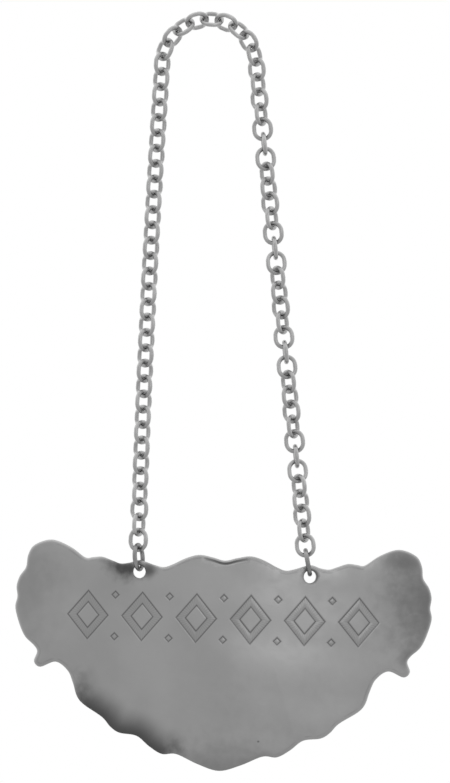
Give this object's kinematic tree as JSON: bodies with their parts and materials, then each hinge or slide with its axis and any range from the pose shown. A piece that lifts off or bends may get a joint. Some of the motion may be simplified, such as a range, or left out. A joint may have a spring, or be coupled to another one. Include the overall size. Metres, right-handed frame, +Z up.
{
  "type": "wine label",
  "caption": "Scalloped, bowed silver plate with an engraved lozenge band, hung by connecting rings from a closed cable chain that goes over a bottle's neck.",
  "frame": {"origin": "the point inside the top of the chain's loop where a bottle's neck or a peg carries it", "axes": "+Z up as the label hangs, +X to the right seen from the front, -Y out of the engraved front"},
  "size_m": [0.0582, 0.0074, 0.1055],
  "materials": {
    "plate_silver": "polished sterling silver with fine wear and some tarnish at the edges",
    "chain_silver": "bright drawn silver wire",
    "ring_silver": "drawn silver wire, darkened"
  },
  "bodies": {
    "crown": {"crown_link_01": "chain_silver", "crown_link_02": "chain_silver", "crown_link_03": "chain_silver", "crown_link_04": "chain_silver", "crown_link_05": "chain_silver", "crown_link_06": "chain_silver", "crown_link_07": "chain_silver", "crown_link_08": "chain_silver", "crown_link_09": "chain_silver", "crown_link_10": "chain_silver", "crown_link_11": "chain_silver", "crown_link_12": "chain_silver"},
    "link_pair_01": {"link_pair_01": "chain_silver"},
    "link_pair_02": {"link_pair_02": "chain_silver"},
    "link_pair_03": {"link_pair_03": "chain_silver"},
    "link_pair_04": {"link_pair_04": "chain_silver"},
    "link_pair_05": {"link_pair_05": "chain_silver"},
    "link_pair_06": {"link_pair_06": "chain_silver"},
    "link_pair_07": {"link_pair_07": "chain_silver"},
    "link_pair_08": {"link_pair_08": "chain_silver"},
    "link_pair_09": {"link_pair_09": "chain_silver"},
    "link_pair_10": {"link_pair_10": "chain_silver"},
    "link_pair_11": {"link_pair_11": "chain_silver"},
    "link_pair_12": {"link_pair_12": "chain_silver"},
    "link_pair_13": {"link_pair_13": "chain_silver"},
    "link_pair_14": {"link_pair_14": "chain_silver"},
    "link_pair_15": {"link_pair_15": "chain_silver"},
    "link_pair_16": {"link_pair_16": "chain_silver"},
    "link_pair_17": {"link_pair_17": "chain_silver"},
    "link_pair_18": {"link_pair_18": "chain_silver"},
    "link_pair_19": {"link_pair_19": "chain_silver"},
    "link_pair_20": {"link_pair_20": "chain_silver"},
    "link_pair_21": {"link_pair_21": "chain_silver"},
    "link_pair_22": {"link_pair_22": "chain_silver"},
    "link_pair_23": {"link_pair_23": "chain_silver"},
    "link_pair_24": {"link_pair_24": "chain_silver"},
    "link_pair_25": {"link_pair_25": "chain_silver"},
    "link_pair_26": {"link_pair_26": "chain_silver"},
    "link_pair_27": {"link_pair_27": "chain_silver"},
    "link_pair_28": {"link_pair_28": "chain_silver"},
    "link_pair_29": {"link_pair_29": "chain_silver"},
    "link_pair_30": {"link_pair_30": "chain_silver"},
    "link_pair_31": {"link_pair_31": "chain_silver"},
    "connecting_rings": {"left_connecting_ring": "ring_silver", "right_connecting_ring": "ring_silver"},
    "label": {"label_plate": "plate_silver"}
  },
  "joints": [
    {"name": "label_swing", "type": "hinge", "parent": "connecting_rings", "child": "label", "pos_m": [0.00402, 0, -0.07396], "axis": [1, 0, -0.0012], "range_deg": [-30, 30]},
    {"name": "ring_hinge", "type": "hinge", "parent": "link_pair_31", "child": "connecting_rings", "pos_m": [0.00381, 0, -0.07263], "axis": [1, 0, -0.0021], "range_deg": [-25, 25]},
    {"name": "chain_hinge_01", "type": "hinge", "parent": "crown", "child": "link_pair_01", "pos_m": [0.00025, 0, -0.00751], "axis": [0.984, 0, -0.178], "range_deg": [-25, 25]},
    {"name": "chain_hinge_02", "type": "hinge", "parent": "link_pair_01", "child": "link_pair_02", "pos_m": [0.00035, 0, -0.00961], "axis": [-0.9857, 0, 0.1683], "range_deg": [-25, 25]},
    {"name": "chain_hinge_03", "type": "hinge", "parent": "link_pair_02", "child": "link_pair_03", "pos_m": [0.00044, 0, -0.01171], "axis": [-0.9873, 0, 0.159], "range_deg": [-25, 25]},
    {"name": "chain_hinge_04", "type": "hinge", "parent": "link_pair_03", "child": "link_pair_04", "pos_m": [0.00054, 0, -0.01381], "axis": [0.9887, 0, -0.1502], "range_deg": [-25, 25]},
    {"name": "chain_hinge_05", "type": "hinge", "parent": "link_pair_04", "child": "link_pair_05", "pos_m": [0.00064, 0, -0.01591], "axis": [0.9899, 0, -0.1418], "range_deg": [-25, 25]},
    {"name": "chain_hinge_06", "type": "hinge", "parent": "link_pair_05", "child": "link_pair_06", "pos_m": [0.00074, 0, -0.01801], "axis": [-0.991, 0, 0.1337], "range_deg": [-25, 25]},
    {"name": "chain_hinge_07", "type": "hinge", "parent": "link_pair_06", "child": "link_pair_07", "pos_m": [0.00085, 0, -0.02012], "axis": [-0.992, 0, 0.126], "range_deg": [-25, 25]},
    {"name": "chain_hinge_08", "type": "hinge", "parent": "link_pair_07", "child": "link_pair_08", "pos_m": [0.00095, 0, -0.02222], "axis": [0.9929, 0, -0.1187], "range_deg": [-25, 25]},
    {"name": "chain_hinge_09", "type": "hinge", "parent": "link_pair_08", "child": "link_pair_09", "pos_m": [0.00106, 0, -0.02432], "axis": [0.9938, 0, -0.1116], "range_deg": [-25, 25]},
    {"name": "chain_hinge_10", "type": "hinge", "parent": "link_pair_09", "child": "link_pair_10", "pos_m": [0.00116, 0, -0.02642], "axis": [-0.9945, 0, 0.1048], "range_deg": [-25, 25]},
    {"name": "chain_hinge_11", "type": "hinge", "parent": "link_pair_10", "child": "link_pair_11", "pos_m": [0.00127, 0, -0.02852], "axis": [-0.9952, 0, 0.0983], "range_deg": [-25, 25]},
    {"name": "chain_hinge_12", "type": "hinge", "parent": "link_pair_11", "child": "link_pair_12", "pos_m": [0.00138, 0, -0.03062], "axis": [0.9958, 0, -0.092], "range_deg": [-25, 25]},
    {"name": "chain_hinge_13", "type": "hinge", "parent": "link_pair_12", "child": "link_pair_13", "pos_m": [0.00149, 0, -0.03272], "axis": [0.9963, 0, -0.086], "range_deg": [-25, 25]},
    {"name": "chain_hinge_14", "type": "hinge", "parent": "link_pair_13", "child": "link_pair_14", "pos_m": [0.0016, 0, -0.03482], "axis": [-0.9968, 0, 0.0802], "range_deg": [-25, 25]},
    {"name": "chain_hinge_15", "type": "hinge", "parent": "link_pair_14", "child": "link_pair_15", "pos_m": [0.00171, 0, -0.03692], "axis": [-0.9972, 0, 0.0746], "range_deg": [-25, 25]},
    {"name": "chain_hinge_16", "type": "hinge", "parent": "link_pair_15", "child": "link_pair_16", "pos_m": [0.00183, 0, -0.03902], "axis": [0.9976, 0, -0.0692], "range_deg": [-25, 25]},
    {"name": "chain_hinge_17", "type": "hinge", "parent": "link_pair_16", "child": "link_pair_17", "pos_m": [0.00194, 0, -0.04112], "axis": [0.998, 0, -0.0639], "range_deg": [-25, 25]},
    {"name": "chain_hinge_18", "type": "hinge", "parent": "link_pair_17", "child": "link_pair_18", "pos_m": [0.00206, 0, -0.04322], "axis": [-0.9983, 0, 0.0589], "range_deg": [-25, 25]},
    {"name": "chain_hinge_19", "type": "hinge", "parent": "link_pair_18", "child": "link_pair_19", "pos_m": [0.00217, 0, -0.04532], "axis": [-0.9985, 0, 0.054], "range_deg": [-25, 25]},
    {"name": "chain_hinge_20", "type": "hinge", "parent": "link_pair_19", "child": "link_pair_20", "pos_m": [0.00229, 0, -0.04743], "axis": [0.9988, 0, -0.0493], "range_deg": [-25, 25]},
    {"name": "chain_hinge_21", "type": "hinge", "parent": "link_pair_20", "child": "link_pair_21", "pos_m": [0.00241, 0, -0.04953], "axis": [0.999, 0, -0.0447], "range_deg": [-25, 25]},
    {"name": "chain_hinge_22", "type": "hinge", "parent": "link_pair_21", "child": "link_pair_22", "pos_m": [0.00253, 0, -0.05163], "axis": [-0.9992, 0, 0.0403], "range_deg": [-25, 25]},
    {"name": "chain_hinge_23", "type": "hinge", "parent": "link_pair_22", "child": "link_pair_23", "pos_m": [0.00266, 0, -0.05373], "axis": [-0.9994, 0, 0.036], "range_deg": [-25, 25]},
    {"name": "chain_hinge_24", "type": "hinge", "parent": "link_pair_23", "child": "link_pair_24", "pos_m": [0.00278, 0, -0.05583], "axis": [0.9995, 0, -0.0318], "range_deg": [-25, 25]},
    {"name": "chain_hinge_25", "type": "hinge", "parent": "link_pair_24", "child": "link_pair_25", "pos_m": [0.00291, 0, -0.05793], "axis": [0.9996, 0, -0.0277], "range_deg": [-25, 25]},
    {"name": "chain_hinge_26", "type": "hinge", "parent": "link_pair_25", "child": "link_pair_26", "pos_m": [0.00303, 0, -0.06003], "axis": [-0.9997, 0, 0.0238], "range_deg": [-25, 25]},
    {"name": "chain_hinge_27", "type": "hinge", "parent": "link_pair_26", "child": "link_pair_27", "pos_m": [0.00316, 0, -0.06213], "axis": [-0.9998, 0, 0.0199], "range_deg": [-25, 25]},
    {"name": "chain_hinge_28", "type": "hinge", "parent": "link_pair_27", "child": "link_pair_28", "pos_m": [0.00329, 0, -0.06423], "axis": [0.9999, 0, -0.0162], "range_deg": [-25, 25]},
    {"name": "chain_hinge_29", "type": "hinge", "parent": "link_pair_28", "child": "link_pair_29", "pos_m": [0.00342, 0, -0.06633], "axis": [0.9999, 0, -0.0125], "range_deg": [-25, 25]},
    {"name": "chain_hinge_30", "type": "hinge", "parent": "link_pair_29", "child": "link_pair_30", "pos_m": [0.00355, 0, -0.06843], "axis": [-1, 0, 0.009], "range_deg": [-25, 25]},
    {"name": "chain_hinge_31", "type": "hinge", "parent": "link_pair_30", "child": "link_pair_31", "pos_m": [0.00368, 0, -0.07053], "axis": [-1, 0, 0.0055], "range_deg": [-25, 25]}
  ]
}
